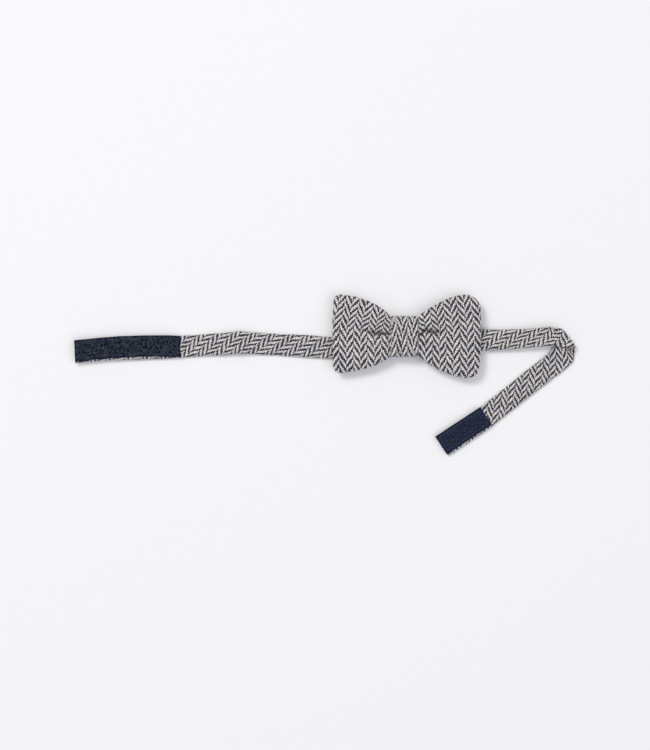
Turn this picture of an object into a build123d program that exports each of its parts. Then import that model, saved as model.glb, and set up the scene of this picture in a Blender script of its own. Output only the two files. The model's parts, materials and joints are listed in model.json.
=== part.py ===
from build123d import *
from math import cos, radians, sin
import os

os.makedirs("parts", exist_ok=True)

# A child's ready-made bow tie lying on its back: a two-ply bow, a knot wrapped round its waist,
# and a cloth neck band behind it with loop tape on one end and hook tape on the other.
# Origin at the middle of the knot's flat back. +X runs along the band, +Z is the front. Millimetres.

# bow
bow_width = 90.0
bow_height = 49.0
bow_shift = 1.0  # the right wing is this much longer than half the bow
bow_thickness = 4.6
bow_cloth = 1.0
corner_radius = 4.5
edge_round = 1.4

# knot
knot_width = 17.6
knot_height = 25.0
waist_height = knot_height - 5.0  # of the bow inside the knot
knot_cloth = 1.0
knot_lining = 0.65
knot_round = 3.6
seam_offset = 6.0  # the hand seam behind the knot, up from its middle
seam_length = 14.0
seam_depth = 0.45

# neck band
band_width = 13.4
band_thickness = 2.2
band_round = 0.8
band_gap = 0.3  # free gap between band and bow, and between two links of the band

# tapes and thread
tape_width = band_width - 0.4
loop_tape_length = 64.0
hook_tape_length = 32.7
tape_ground = 0.45
pile_height = 0.8
hook_height = 0.7
hook_pitch = 1.4
stitch_inset = 1.7
stitch_pitch = 2.5
stitch_length = 1.9
stitch_width = 0.5
stitch_height = 0.3
tape_lead = 6.0  # plain band between the last bend and a tape
thread_radius = 0.25
thread_turns = 4
thread_band = thread_turns * 4 * thread_radius

# layers of the knot, from its back at z = 0 to its front
ease = 0.05
lining_bottom = knot_cloth + ease
cavity_bottom = lining_bottom + knot_lining
band_bottom = cavity_bottom + 0.1
bow_bottom = band_bottom + band_thickness + band_gap
bow_seam = bow_bottom + bow_thickness / 2
bow_top = bow_bottom + bow_thickness
cavity_top = bow_top + 0.1
lining_top = cavity_top + knot_lining
knot_thickness = lining_top + ease + knot_cloth
cavity_height = knot_height - 2 * (knot_cloth + ease + knot_lining)

# Bends of the band: points of the middle line of its neck side. It lies low in the knot, clear of its lining.
reach = bow_width / 90.0
low_in_knot = (band_width - cavity_height) / 2 + 0.7
left_bends = [
    (-15.0 * reach, low_in_knot, band_bottom),
    (-44.0 * reach, -6.7, 0.0),
    (-72.0, -5.1, 0.0),
    (-99.0, -3.6, 1.8),
    (-129.5, -5.7, 0.0),
]
left_tip = (left_bends[-1][0] - loop_tape_length - tape_lead, -8.8, 1.5)
fold_rise = 2.0  # clear height inside the fold
right_bends = [
    (15.0 * reach, low_in_knot + 0.2, band_bottom),
    (46.5 * reach, -2.2, 1.2),
    (75.0, -0.8, 2.6),
    (98.0, 0.3, band_thickness + fold_rise),
]
fold_angle = 111.0  # heading of the fold line, degrees from +X
tail_bends = [(98.0, 0.3, band_thickness), (86.5, -20.0, band_thickness), (54.9, -44.8, band_thickness)]
tail_heading = 213.4
tail_end_length = hook_tape_length + tape_lead
tail_tip = (
    tail_bends[-1][0] + tail_end_length * cos(radians(tail_heading)),
    tail_bends[-1][1] + tail_end_length * sin(radians(tail_heading)),
    band_thickness,
)
fold_line = Vector(cos(radians(fold_angle)), sin(radians(fold_angle)), 0)
fold_out = Vector(sin(radians(fold_angle)), -cos(radians(fold_angle)), 0)


def heading(start, end):
    """Unit vector from start to end, seen from above."""
    return Vector(end[0] - start[0], end[1] - start[1], 0).normalized()


def bend_normals(points):
    """Cut direction at each point of a run of links: across the ends, halfway between links inside."""
    legs = [heading(a, b) for a, b in zip(points, points[1:])]
    inner = [(a + b).normalized() for a, b in zip(legs, legs[1:])]
    return [legs[0], *inner, legs[-1]]


def across_plane(start, end):
    """Plane at start that looks along the band, local x across it and local y up."""
    along = Vector(*end) - Vector(*start)
    return Plane(origin=start, x_dir=Vector(0, 0, 1).cross(along), z_dir=along)


def face_plane(start, end, lift):
    """Plane lying on the band at start, local x along it, raised by lift."""
    section = across_plane(start, end)
    return Plane(origin=start, x_dir=section.z_dir, z_dir=section.y_dir).offset(lift)


def add_link(start, end, start_cut, end_cut, side=1, free_end=False):
    """One link of the band between two bends. side 1 puts the cloth above its points, -1 below."""
    length = (Vector(*end) - Vector(*start)).length
    with BuildSketch(across_plane(start, end).offset(-band_width)) as section:
        with Locations((0, side * band_thickness / 2)):
            RectangleRounded(band_width, band_thickness, band_round)
    extrude(section.sketch, amount=length + 2 * band_width)
    near = Vector(*start) + start_cut * (band_gap / 2)
    far = Vector(*end) - end_cut * (0 if free_end else band_gap / 2)
    split(bisect_by=Plane(origin=near, z_dir=start_cut), keep=Keep.TOP)
    split(bisect_by=Plane(origin=far, z_dir=end_cut), keep=Keep.BOTTOM)


def wing(side, length):
    """Corners of one wing from the top of the waist round to its bottom, side 1 right and -1 left."""
    half = bow_height / 2
    pinch = knot_width / 2 + 0.5
    shoulder = pinch + 0.18 * length
    shape = [
        (pinch, waist_height / 2),
        (shoulder, 0.8 * half),
        (length - 3, half),
        (length, 0.2 * half),
        (length - 2, -half),
        (shoulder, -0.8 * half),
        (pinch, -waist_height / 2),
    ]
    return [(side * x, y) for x, y in shape]


def bow_outline(inset=0.0):
    """Plan of the bow with rounded corners, drawn in from its edge by inset."""
    right = wing(1, bow_width / 2 + bow_shift)
    left = wing(-1, bow_width / 2 - bow_shift)
    with BuildSketch() as outline:
        with BuildLine():
            Polyline(*right, *reversed(left), close=True)
        make_face()
        waist_end = knot_width / 2 + 1
        middle = knot_width / 2 + bow_width / 4
        for low, high, radius in (
            (middle, bow_width, corner_radius),
            (waist_end, middle, 9.0),
            (0, waist_end, 1.5),
        ):
            corners = [v for v in outline.vertices() if low < abs(v.X) < high]
            fillet(corners, radius=radius)
        if inset:
            offset(amount=-inset, mode=Mode.REPLACE)
    return outline.sketch


def add_ply(side):
    """One ply of the bow, a shallow tray open at the seam: side 1 front, -1 back."""
    seam = bow_seam + side * ease
    at_seam = Location((0, 0, seam))
    ply = extrude(at_seam * bow_outline(), amount=side * (bow_thickness / 2 - ease))
    outer = ply.faces().sort_by(Axis.Z)[-1 if side == 1 else 0]
    fillet(outer.edges(), radius=edge_round)
    hollow = bow_thickness / 2 - ease - bow_cloth
    extrude(at_seam * bow_outline(bow_cloth), amount=side * hollow, mode=Mode.SUBTRACT)
    groove = 2.4 * thread_radius
    with BuildSketch(Plane.YZ.offset(-thread_band / 2)) as around:
        with Locations((0, bow_seam)):
            Rectangle(2 * waist_height, 3 * bow_thickness)
            RectangleRounded(
                waist_height - 2 * groove, bow_thickness - 2 * groove, edge_round, mode=Mode.SUBTRACT
            )
    extrude(around.sketch, amount=thread_band, mode=Mode.SUBTRACT)


def stitch_places(length, width):
    """Middle and turn of each stitch on a rectangle of thread, length by width, about the origin."""
    places = []
    for span, other, turn in ((length, width, 0), (width, length, 90)):
        count = round(span / stitch_pitch)
        for side in (-1, 1):
            for step in range(count):
                along = (step + 0.5) * span / count - span / 2
                spot = (along, side * other / 2) if turn == 0 else (side * other / 2, along)
                places.append(Location((*spot, 0), (0, 0, turn)))
    return places


def tape_plane(start, end, length, side=1):
    """Plane on the face of an end link, centred where its tape lies. side -1 is a link below its points."""
    face = face_plane(start, end, band_thickness if side == 1 else 0)
    middle = face.origin + face.x_dir * (tape_lead + length / 2)
    return Plane(origin=middle, x_dir=face.x_dir, z_dir=face.z_dir)


def add_ground(plane, length):
    """Woven ground of a tape."""
    with BuildSketch(plane) as ground:
        RectangleRounded(length, tape_width, 0.6)
    extrude(ground.sketch, amount=tape_ground)


def add_stitches(plane, length):
    """Stitches that hold a tape down, a rectangle just inside its edge."""
    with BuildSketch(plane.offset(tape_ground)) as thread:
        with Locations(*stitch_places(length - 2 * stitch_inset, tape_width - 2 * stitch_inset)):
            SlotOverall(stitch_length, stitch_width)
    extrude(thread.sketch, amount=stitch_height)


# Bow: two plies sewn edge to edge, stiffened inside and gathered at the waist with thread

with BuildPart() as bow_front_ply:
    add_ply(1)
bow_front_ply.part.label = "bow_front_ply"
export_step(bow_front_ply.part, "parts/bow_front_ply.step")

with BuildPart() as bow_back_ply:
    add_ply(-1)
bow_back_ply.part.label = "bow_back_ply"
export_step(bow_back_ply.part, "parts/bow_back_ply.step")

with BuildPart() as bow_interlining:
    stiffener = bow_thickness - 2 * bow_cloth - 0.2
    at_bottom = Location((0, 0, bow_seam - stiffener / 2))
    extrude(at_bottom * bow_outline(bow_cloth + 0.1), amount=stiffener)
bow_interlining.part.label = "bow_interlining"
export_step(bow_interlining.part, "parts/bow_interlining.step")

with BuildPart() as waist_thread:
    drop = 1.3 * thread_radius
    side_y = waist_height / 2 - drop
    for turn in range(thread_turns):
        turn_x = (turn + 0.5) * thread_band / thread_turns - thread_band / 2
        with BuildLine(Plane.YZ.offset(turn_x)) as loop:
            FilletPolyline(
                (side_y, bow_top - drop),
                (-side_y, bow_top - drop),
                (-side_y, bow_bottom + drop),
                (side_y, bow_bottom + drop),
                radius=edge_round,
                close=True,
            )
        with BuildSketch(loop.line ^ 0):
            Circle(thread_radius)
        sweep()
waist_thread.part.label = "waist_thread"
export_step(waist_thread.part, "parts/waist_thread.step")

# Knot: a lined strip of cloth wrapped round waist and band and sewn shut behind
with BuildPart() as knot_wrap:
    with BuildSketch(Plane.YZ.offset(-knot_width / 2)):
        with Locations((0, knot_thickness / 2)):
            RectangleRounded(knot_height, knot_thickness, knot_round)
    body = extrude(amount=knot_width)
    ends = body.faces().filter_by(Axis.X)
    fillet(ends.edges(), radius=0.45)
    with BuildSketch(Plane.YZ.offset(-knot_width / 2)):
        with Locations((0, knot_thickness / 2)):
            RectangleRounded(
                knot_height - 2 * knot_cloth, knot_thickness - 2 * knot_cloth, knot_round - knot_cloth
            )
    extrude(amount=knot_width, mode=Mode.SUBTRACT)
    with BuildSketch(Plane.XY):
        with Locations((0, seam_offset)):
            SlotOverall(seam_length, 1.2)
    extrude(amount=seam_depth, mode=Mode.SUBTRACT)
knot_wrap.part.label = "knot_wrap"
export_step(knot_wrap.part, "parts/knot_wrap.step")

with BuildPart() as knot_interlining:
    strip_width = knot_width - 2.4
    outer_drop = knot_cloth + ease
    inner_drop = outer_drop + knot_lining
    with BuildSketch(Plane.YZ.offset(-strip_width / 2)):
        with Locations((0, knot_thickness / 2)):
            RectangleRounded(
                knot_height - 2 * outer_drop, knot_thickness - 2 * outer_drop, knot_round - outer_drop
            )
            RectangleRounded(
                knot_height - 2 * inner_drop,
                knot_thickness - 2 * inner_drop,
                knot_round - inner_drop,
                mode=Mode.SUBTRACT,
            )
    extrude(amount=strip_width)
knot_interlining.part.label = "knot_interlining"
export_step(knot_interlining.part, "parts/knot_interlining.step")

with BuildPart() as knot_seam_stitches:
    seam_count = round(seam_length / stitch_pitch)
    with BuildSketch(Plane.XY.offset(ease)):
        for step in range(seam_count):
            along = (step + 0.5) * (seam_length - 1) / seam_count - (seam_length - 1) / 2
            with Locations(Location((along, seam_offset, 0), (0, 0, 25))):
                SlotOverall(1.5, 0.4)
    extrude(amount=seam_depth - 2 * ease)
knot_seam_stitches.part.label = "knot_seam_stitches"
export_step(knot_seam_stitches.part, "parts/knot_seam_stitches.step")

# Neck band: a flat cloth tube, cut at its bends
with BuildPart() as band_centre:
    centre_cuts = bend_normals([left_bends[1], left_bends[0], right_bends[0], right_bends[1]])[1:3]
    add_link(left_bends[0], right_bends[0], *centre_cuts)
band_centre.part.label = "band_centre"
export_step(band_centre.part, "parts/band_centre.step")

left_points = [*left_bends, left_tip]
left_cuts = bend_normals([right_bends[0], *left_points])[1:]
for number, (start, end) in enumerate(zip(left_points, left_points[1:]), 1):
    with BuildPart() as left_band:
        cuts = left_cuts[number - 1 : number + 1]
        add_link(start, end, *cuts, free_end=number == len(left_bends))
    left_band.part.label = f"left_band_{number}"
    export_step(left_band.part, f"parts/left_band_{number}.step")

right_cuts = [*bend_normals([left_bends[0], *right_bends])[1:-1], fold_out]
for number, (start, end) in enumerate(zip(right_bends, right_bends[1:]), 1):
    with BuildPart() as right_band:
        add_link(start, end, *right_cuts[number - 1 : number + 1])
    right_band.part.label = f"right_band_{number}"
    export_step(right_band.part, f"parts/right_band_{number}.step")

# The fold: a short roll of band standing between the right run above and the tail below
with BuildPart() as fold_roll:
    slant_top = abs(fold_out.dot(heading(right_bends[-2], right_bends[-1])))
    slant_low = abs(fold_out.dot(heading(tail_bends[0], tail_bends[1])))
    top_half = band_width / 2 / slant_top
    low_half = band_width / 2 / slant_low
    top_z = fold_rise - band_gap / 2
    with BuildSketch(Plane(origin=tail_bends[0], x_dir=fold_line, z_dir=fold_out)):
        with BuildLine():
            Polyline(
                (-low_half, band_gap / 2),
                (low_half, band_gap / 2),
                (top_half, top_z),
                (-top_half, top_z),
                close=True,
            )
        make_face()
    extrude(amount=band_thickness)
fold_roll.part.label = "fold_roll"
export_step(fold_roll.part, "parts/fold_roll.step")

tail_points = [*tail_bends, tail_tip]
tail_cuts = [fold_out * -1, *bend_normals(tail_points)[1:]]
for number, (start, end) in enumerate(zip(tail_points, tail_points[1:]), 1):
    with BuildPart() as tail_band:
        cuts = tail_cuts[number - 1 : number + 1]
        add_link(start, end, *cuts, side=-1, free_end=number == len(tail_bends))
    tail_band.part.label = f"tail_band_{number}"
    export_step(tail_band.part, f"parts/tail_band_{number}.step")

# Loop tape on the front of the left end
loop_plane = tape_plane(left_bends[-1], left_tip, loop_tape_length)

with BuildPart() as loop_tape_ground:
    add_ground(loop_plane, loop_tape_length)
loop_tape_ground.part.label = "loop_tape_ground"
export_step(loop_tape_ground.part, "parts/loop_tape_ground.step")

with BuildPart() as loop_tape_pile:
    with BuildSketch(loop_plane.offset(tape_ground)):
        RectangleRounded(loop_tape_length - 1.6, tape_width - 1.6, 0.4)
        channel = stitch_inset - 0.45
        RectangleRounded(
            loop_tape_length - 2 * channel, tape_width - 2 * channel, 0.3, mode=Mode.SUBTRACT
        )
        channel = stitch_inset + 0.45
        RectangleRounded(loop_tape_length - 2 * channel, tape_width - 2 * channel, 0.3)
    extrude(amount=pile_height)
loop_tape_pile.part.label = "loop_tape_pile"
export_step(loop_tape_pile.part, "parts/loop_tape_pile.step")

with BuildPart() as loop_tape_stitches:
    add_stitches(loop_plane, loop_tape_length)
loop_tape_stitches.part.label = "loop_tape_stitches"
export_step(loop_tape_stitches.part, "parts/loop_tape_stitches.step")

# Hook tape on the neck side of the right end, which the fold turns face up
hook_plane = tape_plane(tail_bends[-1], tail_tip, hook_tape_length, side=-1)

with BuildPart() as hook_tape_ground:
    add_ground(hook_plane, hook_tape_length)
hook_tape_ground.part.label = "hook_tape_ground"
export_step(hook_tape_ground.part, "parts/hook_tape_ground.step")

with BuildPart() as hook_tape_hooks:
    hook_bed = 0.15
    bed_width = tape_width - 2 * stitch_inset - 1.4
    ribs = int((hook_tape_length - 2 * stitch_inset - 1.8) / hook_pitch)
    with BuildSketch(hook_plane.offset(tape_ground)):
        Rectangle(ribs * hook_pitch, bed_width)
    extrude(amount=hook_bed)
    with BuildSketch(hook_plane.offset(tape_ground + hook_bed)):
        with GridLocations(hook_pitch, 0, ribs, 1):
            Rectangle(hook_pitch / 2, bed_width - 0.4)
    extrude(amount=hook_height - hook_bed)
hook_tape_hooks.part.label = "hook_tape_hooks"
export_step(hook_tape_hooks.part, "parts/hook_tape_hooks.step")

with BuildPart() as hook_tape_stitches:
    add_stitches(hook_plane, hook_tape_length)
hook_tape_stitches.part.label = "hook_tape_stitches"
export_step(hook_tape_stitches.part, "parts/hook_tape_stitches.step")
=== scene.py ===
# %% [markdown]
# # A child's ready-made bow tie in herringbone cloth
#
# The tie lies on its back on a pale table. A two-ply bow is gathered at the waist by a knot,
# and a flat cloth band runs behind it, with loop tape on one end and hook tape on the other.
# The right end is folded over, so that its hook side looks up.
#
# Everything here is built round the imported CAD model, the frame. It is in metres, its origin is
# the middle of the knot's flat back, +X runs along the band and +Z is the front.

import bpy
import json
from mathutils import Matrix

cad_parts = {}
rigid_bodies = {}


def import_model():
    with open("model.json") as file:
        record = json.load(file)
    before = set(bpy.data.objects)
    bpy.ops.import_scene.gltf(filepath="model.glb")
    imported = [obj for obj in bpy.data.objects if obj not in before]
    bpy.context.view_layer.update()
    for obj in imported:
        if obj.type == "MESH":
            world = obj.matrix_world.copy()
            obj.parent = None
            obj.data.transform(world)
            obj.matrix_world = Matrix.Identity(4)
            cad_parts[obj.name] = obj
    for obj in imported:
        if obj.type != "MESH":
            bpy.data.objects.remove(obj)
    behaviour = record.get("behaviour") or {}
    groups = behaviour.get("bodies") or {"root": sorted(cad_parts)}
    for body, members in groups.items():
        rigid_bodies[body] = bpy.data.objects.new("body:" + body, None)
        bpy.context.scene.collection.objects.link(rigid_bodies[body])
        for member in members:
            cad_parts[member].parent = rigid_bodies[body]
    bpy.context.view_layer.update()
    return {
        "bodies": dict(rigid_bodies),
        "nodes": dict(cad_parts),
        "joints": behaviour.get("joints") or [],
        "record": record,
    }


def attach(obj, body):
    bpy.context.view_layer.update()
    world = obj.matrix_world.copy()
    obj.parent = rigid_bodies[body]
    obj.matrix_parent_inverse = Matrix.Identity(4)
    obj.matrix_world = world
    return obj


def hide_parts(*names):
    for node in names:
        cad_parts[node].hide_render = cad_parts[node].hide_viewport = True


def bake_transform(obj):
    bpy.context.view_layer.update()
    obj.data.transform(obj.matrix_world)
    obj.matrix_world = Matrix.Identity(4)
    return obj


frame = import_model()

# %% Modules and the unit
import json
from math import cos, pi, radians, sin

import bmesh
import bpy
import numpy as np
from mathutils import Matrix, Vector, noise

MM = 0.001
CREAM, NAVY = "#efe9e5", "#2f3148"

# %% [markdown]
# ## Colours and nodes
#
# A hex colour is written as a screen shows it, and the shader wants linear light, so one function
# turns the first into the second. Another adds a node with its settings and its links.

# %% Colour and node helpers
def linear(hex_colour):
    """Linear RGBA of an sRGB hex colour."""
    channels = [int(hex_colour[i : i + 2], 16) / 255 for i in (1, 3, 5)]
    return (*(c / 12.92 if c <= 0.04045 else ((c + 0.055) / 1.055) ** 2.4 for c in channels), 1.0)


def add_node(tree, kind, inputs=(), output=0, **settings):
    """Adds a node. inputs is {socket: value or the socket to link}; returns one of its outputs."""
    node = tree.nodes.new("ShaderNode" + kind)
    for name, value in settings.items():
        setattr(node, name, value)
    for name, value in dict(inputs).items():
        if isinstance(value, bpy.types.NodeSocket):
            tree.links.new(value, node.inputs[name])
        else:
            node.inputs[name].default_value = value
    return node.outputs[output] if len(node.outputs) else node


def start_material(name, roughness, sheen=0.0, ior=1.5):
    """An empty material with its shader, whose even numbers are set on its own sockets."""
    material = bpy.data.materials.new(name)
    material.use_nodes = True
    tree = material.node_tree
    shader = tree.nodes["Principled BSDF"]
    shader.inputs["Roughness"].default_value = roughness
    shader.inputs["IOR"].default_value = ior
    shader.inputs["Sheen Weight"].default_value = sheen
    shader.inputs["Sheen Roughness"].default_value = 0.45
    return material, tree, shader


def sums(tree, operation, a, b=0.0, c=0.0):
    """One step of arithmetic on sockets or numbers."""
    return add_node(tree, "Math", {0: a, 1: b, 2: c}, operation=operation)


print("cream yarn in linear light:", [round(c, 3) for c in linear(CREAM)[:3]])

# %% [markdown]
# ## Herringbone cloth
#
# The bow, knot and band are cut from one wool and cotton tweed: cream warp along the columns,
# navy weft across them, in a 2/2 twill whose direction turns every five ends. The turn is a clean
# break, which makes the zigzag. Ends are 0.84 mm apart and picks 1.2 mm.
#
# An image could hold the pattern, but nodes give it at any distance, and each thread gets its own
# rounded profile, in the bump and as painted shade and light in its colour. The pattern reads each
# piece's own map, whose units are millimetres of cloth.

# %% The cloth's nodes
END_PITCH = 0.84
PICK_PITCH = 1.2
COLUMN_ENDS = 5
TOGETHER, ALONE = 1.7, 0.75  # how far threads stray, all as one and each by itself, in mm
# Painted light and shade in the cloth's colour: darker between the threads, lighter on their
# crowns.
GAP_PAINTED_LIGHT, CROWN_PAINTED_LIGHT = 0.22, 0.70  # light between the threads, and how much more on their crowns
LOT_LIGHT, FIBRE_LIGHT, PLEAT_PAINTED_DARK = 0.16, 0.5, 0.7
WEAVE_MAP = "weave"
# Painted shade: a point attribute that darkens the cloth's colour in the bow's pleat.
PLEAT_SHADE = "pleat_shade"  # how deep in a pleat a point is, where little light comes


def weave_cell(tree, across, along):
    """Cell numbers and places inside the cell of the thread crossing under a point."""
    end = sums(tree, "DIVIDE", across, END_PITCH)
    pick = sums(tree, "DIVIDE", along, PICK_PITCH)
    return (
        sums(tree, "FLOOR", end),
        sums(tree, "FLOOR", pick),
        sums(tree, "FRACT", end),
        sums(tree, "FRACT", pick),
    )


def thread_round(tree, place):
    """Height of a round thread, 0 at its edges and 1 on its crown, from its place across."""
    off_middle = sums(tree, "MULTIPLY_ADD", place, 2.0, -1.0)
    return sums(tree, "SUBTRACT", 1.0, sums(tree, "MULTIPLY", off_middle, off_middle))


def twill_step(tree, end, pick):
    """Step 0 to 3 of the twill at a crossing: 0 and 1 show the warp, 2 and 3 the weft."""
    middle = sums(tree, "ADD", end, 0.5)
    zigzag = sums(tree, "FLOOR", sums(tree, "PINGPONG", middle, float(COLUMN_ENDS)))
    column = sums(tree, "FLOOR", sums(tree, "DIVIDE", middle, float(COLUMN_ENDS)))
    break_step = sums(tree, "MULTIPLY", sums(tree, "FLOORED_MODULO", column, 2.0), 2.0)
    total = sums(tree, "ADD", sums(tree, "ADD", zigzag, pick), break_step)
    return sums(tree, "FLOORED_MODULO", sums(tree, "ADD", total, 0.001), 4.0)


def make_herringbone(name, cream, navy):
    """Wool and cotton tweed, woven in two colours: matt, hairy, rounded threads, with painted shade
    in the gaps between them and painted light on their crowns.
    """
    material, tree, shader = start_material(name, roughness=0.88, sheen=0.22)
    place = add_node(tree, "UVMap", uv_map=WEAVE_MAP)
    drift = add_node(tree, "TexNoise", {"Vector": place, "Scale": 0.45, "Detail": 2.0}, output=1)
    pull = add_node(tree, "VectorMath", {0: drift, 1: (0.5, 0.5, 0.5)}, operation="SUBTRACT")
    hairy = add_node(tree, "TexNoise", {"Vector": place, "Scale": 2.6, "Detail": 2.0}, output=1)
    fray = add_node(tree, "VectorMath", {0: hairy, 1: (0.5, 0.5, 0.5)}, operation="SUBTRACT")
    pulled = add_node(
        tree,
        "VectorMath",
        {0: pull, 1: (TOGETHER, TOGETHER, 0.0), 2: place},
        operation="MULTIPLY_ADD",
    )
    moved = add_node(
        tree, "VectorMath", {0: fray, 1: (ALONE, ALONE, 0.0), 2: pulled}, operation="MULTIPLY_ADD"
    )
    across = add_node(tree, "SeparateXYZ", {0: moved}, output=0)
    along = add_node(tree, "SeparateXYZ", {0: moved}, output=1)
    end, pick, in_end, in_pick = weave_cell(tree, across, along)
    warp_shows = sums(tree, "LESS_THAN", twill_step(tree, end, pick), 1.5)

    height = add_node(
        tree,
        "Mix",
        {0: warp_shows, 2: thread_round(tree, in_pick), 3: thread_round(tree, in_end)},
        data_type="FLOAT",
    )
    number = add_node(tree, "Mix", {0: warp_shows, 2: pick, 3: end}, data_type="FLOAT")
    lot = add_node(tree, "TexWhiteNoise", {"W": number}, noise_dimensions="1D")
    fibres = add_node(tree, "TexNoise", {"Vector": place, "Scale": 3.1, "Detail": 3.0})
    colour = add_node(
        tree,
        "Mix",
        {0: warp_shows, 6: linear(navy), 7: linear(cream)},
        output=2,
        data_type="RGBA",
    )
    # Painted shade and light: the colour is darker at each thread's edges and lighter on its crown.
    gap = sums(tree, "POWER", sums(tree, "MAXIMUM", height, 0.0), 0.5)
    light = sums(tree, "MULTIPLY_ADD", gap, CROWN_PAINTED_LIGHT, GAP_PAINTED_LIGHT)
    light = sums(tree, "MULTIPLY_ADD", lot, LOT_LIGHT, light)
    light = sums(tree, "MULTIPLY_ADD", fibres, FIBRE_LIGHT, sums(tree, "SUBTRACT", light, 0.26))
    # Painted shade: the colour is darkened at the bottom of the bow's pleat.
    pleat = add_node(tree, "Attribute", output=2, attribute_name=PLEAT_SHADE)
    light = sums(tree, "MULTIPLY", light, sums(tree, "MULTIPLY_ADD", pleat, -PLEAT_PAINTED_DARK, 1.0))
    shaded = add_node(tree, "VectorMath", {0: colour, "Scale": light}, operation="SCALE")
    tree.links.new(shaded, shader.inputs["Base Color"])
    fuzz = sums(tree, "MULTIPLY_ADD", fibres, 0.5, height)
    bump = add_node(tree, "Bump", {"Height": fuzz, "Strength": 0.7, "Distance": 0.32 * MM})
    tree.links.new(bump, shader.inputs["Normal"])
    return material


tweed = make_herringbone("Herringbone tweed, woven wool and cotton", CREAM, NAVY)
print("cloth:", tweed.name, len(tweed.node_tree.nodes), "nodes")

# %% [markdown]
# ## Tapes, thread and lining
#
# The hook and loop tape is navy nylon: a tight woven ground, a brushed pile on one tape and stiff
# cut hooks on the other. Both are sewn down with a navy thread whose colour is painted a little
# lighter and bluer than the tape, a painted highlight for the light it catches. Interlining is
# hidden inside the knot, and is plain grey felt.

# %% Their materials
def make_fibre(name, dark, bright, roughness, sheen, grain, bump_depth, ior=1.5, rise=None):
    """Fibres too fine to model: colour that wanders over a grain of so many millimetres.

    rise is two heights, in millimetres, between which the colour is painted from deep shade to full
    light: painted shade low down among the fibres.
    """
    material, tree, shader = start_material(name, roughness, sheen, ior)
    place = add_node(tree, "TexCoord", output=3)
    specks = add_node(
        tree,
        "TexNoise",
        {"Vector": place, "Scale": 1 / (grain * MM), "Detail": 4.0, "Roughness": 0.7},
    )
    share = add_node(tree, "MapRange", {"Value": specks, "From Min": 0.4, "From Max": 0.6})
    # Painted shade: below the lower height the colour goes dark, above the upper it keeps its full
    # light.
    if rise:
        height = add_node(tree, "SeparateXYZ", {0: place}, output=2)
        painted_light_by_height = add_node(
            tree, "MapRange", {"Value": height, "From Min": rise[0] * MM, "From Max": rise[1] * MM}
        )
        share = sums(tree, "MULTIPLY", share, painted_light_by_height)
    colour = add_node(
        tree, "Mix", {0: share, 6: linear(dark), 7: linear(bright)}, output=2, data_type="RGBA"
    )
    tree.links.new(colour, shader.inputs["Base Color"])
    bump = add_node(
        tree, "Bump", {"Height": specks, "Strength": 0.8, "Distance": bump_depth * MM}
    )
    tree.links.new(bump, shader.inputs["Normal"])
    return material


TAPE_RIB, TAPE_THREAD = 0.55, 0.4


def make_tape_weave(name, dark, bright):
    """Flat woven nylon: fine ribs across the tape, crossed by finer threads along it."""
    material, tree, shader = start_material(name, roughness=0.7, ior=1.2)
    place = add_node(tree, "UVMap", uv_map=WEAVE_MAP)
    length = add_node(tree, "SeparateXYZ", {0: place}, output=0)
    width = add_node(tree, "SeparateXYZ", {0: place}, output=1)
    ribs = thread_round(tree, sums(tree, "FRACT", sums(tree, "DIVIDE", length, TAPE_RIB)))
    threads = thread_round(tree, sums(tree, "FRACT", sums(tree, "DIVIDE", width, TAPE_THREAD)))
    height = sums(tree, "MULTIPLY_ADD", ribs, 0.6, sums(tree, "MULTIPLY", threads, 0.4))
    specks = add_node(tree, "TexNoise", {"Vector": place, "Scale": 1.7, "Detail": 3.0})
    # Painted shade and light: the colour is darker between the ribs and threads and lighter on
    # their crowns, on top of the bump.
    share = sums(tree, "MULTIPLY", height, specks)
    colour = add_node(
        tree, "Mix", {0: share, 6: linear(dark), 7: linear(bright)}, output=2, data_type="RGBA"
    )
    tree.links.new(colour, shader.inputs["Base Color"])
    bump = add_node(tree, "Bump", {"Height": height, "Strength": 0.6, "Distance": 0.12 * MM})
    tree.links.new(bump, shader.inputs["Normal"])
    return material


tape_weave = make_tape_weave("Navy nylon tape, woven", "#10162a", "#2a3552")
tape_pile = make_fibre(
    "Navy nylon pile, brushed", "#0b0e16", "#404755", 0.9, 0.0, 1.5, 0.3, ior=1.12
)
# The hooks' colour is painted darker low down, between heights of 3.2 mm and 2.75 mm: painted shade
# among the hooks.
tape_hooks = make_fibre(
    "Navy nylon hooks, cut monofilament",
    "#111728",
    "#69758e",
    0.6,
    0.0,
    0.9,
    0.05,
    ior=1.25,
    rise=(2.75, 3.2),
)
# Painted highlight: the thread's colours are set lighter and bluer than the tape's, for the light
# it catches.
thread = make_fibre("Polyester thread, spun", "#222c47", "#4d5d80", 0.6, 0.1, 0.25, 0.08, ior=1.3)
pale_thread = make_fibre("Cotton thread, gathered", "#8d8a92", "#c6c1ba", 0.7, 0.2, 0.25, 0.08)
felt = make_fibre("Interlining felt, needled", "#8c8a88", "#c4c1bc", 0.95, 0.3, 0.6, 0.2)
other_materials = (tape_weave, tape_pile, tape_hooks, thread, pale_thread, felt)
print("other materials:", ", ".join(m.name for m in other_materials))

# %% [markdown]
# ## Camera, table and light
#
# The tie is seen straight from above. A long lens 1.26 m away shows 454 mm of table from top to
# bottom. The light is a big soft window from the upper left with a pale room round it, which
# leaves the soft shadows that fall to the lower right.

# %% Camera and stage
VIEW_CENTRE = (-47.7, -23.3)
VIEW_HEIGHT = 454.5
LENS, SENSOR = 100.0, 36.0

camera = bpy.data.objects.new("camera", bpy.data.cameras.new("camera"))
bpy.context.scene.collection.objects.link(camera)
camera.data.lens, camera.data.sensor_width = LENS, SENSOR
camera_height = VIEW_HEIGHT * LENS / SENSOR
camera.location = (VIEW_CENTRE[0] * MM, VIEW_CENTRE[1] * MM, (camera_height + 3) * MM)
bpy.context.scene.camera = camera


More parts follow.
